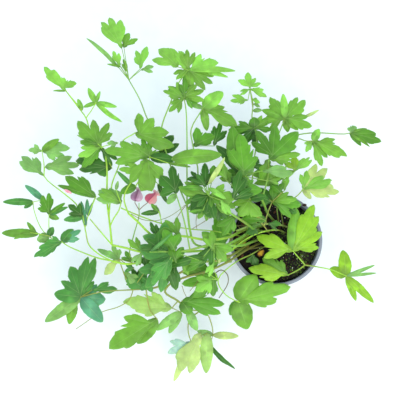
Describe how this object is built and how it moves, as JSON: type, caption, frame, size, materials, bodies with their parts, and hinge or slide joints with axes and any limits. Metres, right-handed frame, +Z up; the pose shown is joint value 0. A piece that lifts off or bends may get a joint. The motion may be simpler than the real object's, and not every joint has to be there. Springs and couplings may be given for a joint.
{
  "type": "potted bleeding heart plant",
  "caption": "Golden-leaved bleeding heart spilling over one side of a round nursery pot: lobed compound leaves on slender arching stems, heart-shaped hanging flowers and soil.",
  "frame": {"origin": "centre of the pot's flat underside, on the surface that the pot stands on", "axes": "+Z up along the pot's axis; -X is the side that most of the foliage leans over, and -Y is the lower edge of the picture, which looks almost straight down"},
  "size_m": [0.6716, 0.6443, 0.3069],
  "materials": {
    "pot_plastic": "satin",
    "potting_soil": "matte",
    "leaf_green": "satin",
    "leaf_gold": "satin",
    "leaf_pale": "satin",
    "leaf_cool": "satin",
    "leaf_deep": "satin",
    "leaf_yellow": "matte",
    "stem_green": "satin",
    "petal_mauve": "satin",
    "petal_rose": "satin",
    "petal_white": "satin"
  },
  "bodies": {
    "root": {"nursery_pot": "pot_plastic", "potting_soil": "potting_soil", "leafy_stem_top": "leaf_green", "leafy_stem_upper_right": "leaf_green", "leafy_stem_right": "leaf_green", "leafy_stem_pale": "leaf_pale", "leafy_stem_golden": "leaf_gold", "leafy_stem_below": "leaf_green", "leafy_stem_bottom": "leaf_green", "leafy_stem_lower_left": "leaf_cool", "leafy_stem_far_left": "leaf_cool", "leafy_stem_left": "leaf_green", "leafy_stem_middle_left": "leaf_green", "leafy_stem_middle": "leaf_deep", "leafy_stem_centre": "leaf_green", "leafy_stem_crown": "leaf_green", "leafy_stem_rim": "leaf_green", "withered_leaf_left": "leaf_yellow", "withered_leaf_right": "leaf_yellow", "flower_stalk_left": "stem_green", "flower_mauve": "petal_mauve", "flower_mauve_inner": "petal_white", "flower_rose": "petal_rose", "flower_rose_inner": "petal_white"}
  },
  "joints": []
}
